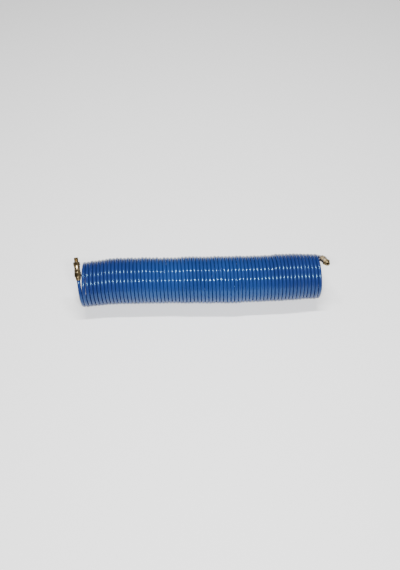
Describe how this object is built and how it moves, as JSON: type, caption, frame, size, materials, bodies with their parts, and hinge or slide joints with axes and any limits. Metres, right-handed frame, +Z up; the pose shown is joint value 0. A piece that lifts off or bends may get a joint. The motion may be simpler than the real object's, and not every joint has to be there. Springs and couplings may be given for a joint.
{
  "type": "coiled air hose",
  "caption": "Recoil air hose: a closed right-handed coil of blue nylon tube with a brass swivel compression fitting and a male pipe thread at each end.",
  "frame": {"origin": "on the surface that the closed hose lies on, under the middle of its coil", "axes": "+X along the coil from the supply end to the tool end, +Z up; the supply fitting points to +Y and the tool fitting to -Y"},
  "size_m": [0.556, 0.1038, 0.1282],
  "materials": {
    "nylon": "glossy, slightly translucent blue nylon",
    "brass": "turned brass, slightly tarnished",
    "ptfe": "brown bronze-filled PTFE",
    "rubber": "black nitrile rubber",
    "steel": "bright spring wire"
  },
  "bodies": {
    "hose": {"hose_coil": "nylon", "supply_tail": "nylon", "supply_nut": "brass", "supply_ferrule": "brass", "supply_tube_insert": "brass", "supply_stem": "brass", "supply_thrust_washer": "ptfe", "supply_o_rings": "rubber", "supply_retaining_ring": "steel"},
    "supply_thread_end": {"supply_stud": "brass"},
    "tool_end": {"tool_tail": "nylon", "tool_nut": "brass", "tool_ferrule": "brass", "tool_tube_insert": "brass", "tool_stem": "brass", "tool_thrust_washer": "ptfe", "tool_o_rings": "rubber", "tool_retaining_ring": "steel"},
    "tool_thread_end": {"tool_stud": "brass"}
  },
  "joints": [
    {"name": "coil_stretch", "type": "slide", "parent": "hose", "child": "tool_end", "axis": [1, 0, 0], "range_m": [0, 14.4], "stiffness_N_per_m": 2.9, "springref_m": -0.3, "deforming": ["hose_coil"]},
    {"name": "supply_swivel", "type": "hinge", "parent": "hose", "child": "supply_thread_end", "pos_m": [-0.26971, -0.0003, 0.10943], "axis": [-0.0712, 0.8059, 0.5878], "continuous": true},
    {"name": "tool_swivel", "type": "hinge", "parent": "tool_end", "child": "tool_thread_end", "pos_m": [0.26971, 0.0003, 0.10943], "axis": [0.0712, -0.8059, 0.5878], "continuous": true}
  ]
}
